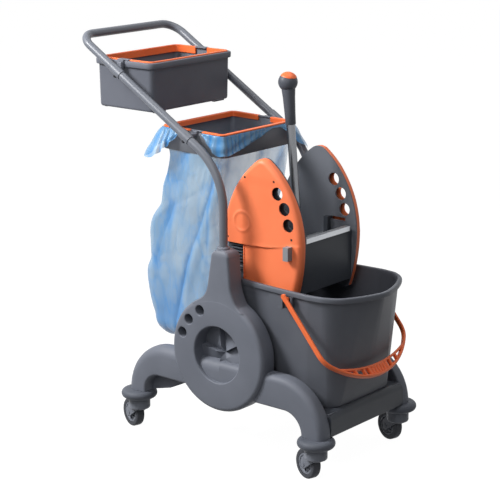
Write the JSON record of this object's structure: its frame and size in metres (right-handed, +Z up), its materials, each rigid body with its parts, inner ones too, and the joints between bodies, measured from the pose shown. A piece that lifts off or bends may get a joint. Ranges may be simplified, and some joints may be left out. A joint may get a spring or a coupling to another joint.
{
  "type": "janitor cart",
  "caption": "Janitor cart on swivel casters with a push handle, clip-on tray, waste bag holder and a bucket that carries a lever-operated press wringer.",
  "frame": {"origin": "centre of the bounding box at floor level", "axes": "+X towards the bucket, +Y left, +Z up"},
  "size_m": [0.84, 0.432, 1.0105],
  "materials": {
    "grey_plastic": "satin",
    "dark_plastic": "satin",
    "orange_plastic": "satin",
    "grey_coat": "powder coat",
    "steel": "brushed",
    "tyre": "matte",
    "bumper_rubber": "matte",
    "film": "thin film"
  },
  "bodies": {
    "cart": {"side_frame_right": "grey_plastic", "side_frame_left": "grey_plastic", "base_platform": "dark_plastic", "front_beam": "grey_plastic", "rear_beam": "dark_plastic", "frame_bolts": "steel", "bumper_ring_front_right": "bumper_rubber", "bumper_ring_front_left": "bumper_rubber", "bumper_ring_rear_right": "bumper_rubber", "bumper_ring_rear_left": "bumper_rubber", "caster_stems": "steel", "handle_tube": "grey_coat", "tray_box": "dark_plastic", "tray_ring": "orange_plastic", "tray_clamp_right": "dark_plastic", "tray_clamp_left": "dark_plastic", "bag_collar": "dark_plastic", "bag_ring": "orange_plastic", "bag_clamp_right": "dark_plastic", "bag_clamp_left": "dark_plastic", "clamp_screws": "steel", "waste_bag": "film"},
    "swivel_front_right": {"fork_front_right": "grey_plastic", "axle_front_right": "steel"},
    "wheel_front_right": {"wheel_core_front_right": "grey_plastic", "tyre_front_right": "tyre"},
    "swivel_front_left": {"fork_front_left": "grey_plastic", "axle_front_left": "steel"},
    "wheel_front_left": {"wheel_core_front_left": "grey_plastic", "tyre_front_left": "tyre"},
    "swivel_rear_right": {"fork_rear_right": "grey_plastic", "axle_rear_right": "steel"},
    "wheel_rear_right": {"wheel_core_rear_right": "grey_plastic", "tyre_rear_right": "tyre"},
    "swivel_rear_left": {"fork_rear_left": "grey_plastic", "axle_rear_left": "steel"},
    "wheel_rear_left": {"wheel_core_rear_left": "grey_plastic", "tyre_rear_left": "tyre"},
    "bucket": {"bucket": "dark_plastic"},
    "bail": {"bail": "orange_plastic"},
    "wringer": {"side_plate_right": "dark_plastic", "side_plate_left": "dark_plastic", "side_cover_right": "orange_plastic", "side_cover_left": "orange_plastic", "cover_screws": "steel", "press_basket": "dark_plastic", "basket_bar": "steel", "steel_tabs": "steel", "plate_bolts": "steel"},
    "lever": {"lever_shaft": "steel", "pinion_right": "steel", "pinion_left": "steel", "lever_tube": "steel", "lever_grip": "grey_plastic", "lever_cap": "orange_plastic"},
    "press": {"press_plate": "dark_plastic", "rack_right": "steel", "rack_left": "steel"}
  },
  "joints": [
    {"name": "swivel_front_right", "type": "hinge", "parent": "cart", "child": "swivel_front_right", "pos_m": [0.341, -0.17, 0.08], "axis": [0, 0, 1], "continuous": true},
    {"name": "roll_front_right", "type": "hinge", "parent": "swivel_front_right", "child": "wheel_front_right", "pos_m": [0.31216, -0.16173, 0.0375], "axis": [0.2756, 0.9613, 0], "continuous": true},
    {"name": "swivel_front_left", "type": "hinge", "parent": "cart", "child": "swivel_front_left", "pos_m": [0.341, 0.17, 0.08], "axis": [0, 0, 1], "continuous": true},
    {"name": "roll_front_left", "type": "hinge", "parent": "swivel_front_left", "child": "wheel_front_left", "pos_m": [0.31216, 0.17827, 0.0375], "axis": [0.2756, 0.9613, 0], "continuous": true},
    {"name": "swivel_rear_right", "type": "hinge", "parent": "cart", "child": "swivel_rear_right", "pos_m": [-0.228, -0.17, 0.08], "axis": [0, 0, 1], "continuous": true},
    {"name": "roll_rear_right", "type": "hinge", "parent": "swivel_rear_right", "child": "wheel_rear_right", "pos_m": [-0.25684, -0.16173, 0.0375], "axis": [0.2756, 0.9613, 0], "continuous": true},
    {"name": "swivel_rear_left", "type": "hinge", "parent": "cart", "child": "swivel_rear_left", "pos_m": [-0.228, 0.17, 0.08], "axis": [0, 0, 1], "continuous": true},
    {"name": "roll_rear_left", "type": "hinge", "parent": "swivel_rear_left", "child": "wheel_rear_left", "pos_m": [-0.25684, 0.17827, 0.0375], "axis": [0.2756, 0.9613, 0], "continuous": true},
    {"name": "bucket_lift", "type": "slide", "parent": "cart", "child": "bucket", "axis": [0, 0, 1], "range_m": [0, 0.04]},
    {"name": "bail_swing", "type": "hinge", "parent": "bucket", "child": "bail", "pos_m": [0.243, 0, 0.43], "axis": [0, -1, 0], "range_deg": [0, 105]},
    {"name": "wringer_lift", "type": "slide", "parent": "bucket", "child": "wringer", "axis": [0, 0, 1], "range_m": [0, 0.03]},
    {"name": "lever_press", "type": "hinge", "parent": "wringer", "child": "lever", "pos_m": [0.153, 0, 0.522], "axis": [0, 1, 0], "range_deg": [0, 60]},
    {"name": "press_slide", "type": "slide", "parent": "wringer", "child": "press", "axis": [1, 0, 0], "range_m": [0, 0.042]}
  ],
  "couplings": [
    {"joint": "press_slide", "follows": "lever_press", "m_per_rad": 0.04}
  ]
}
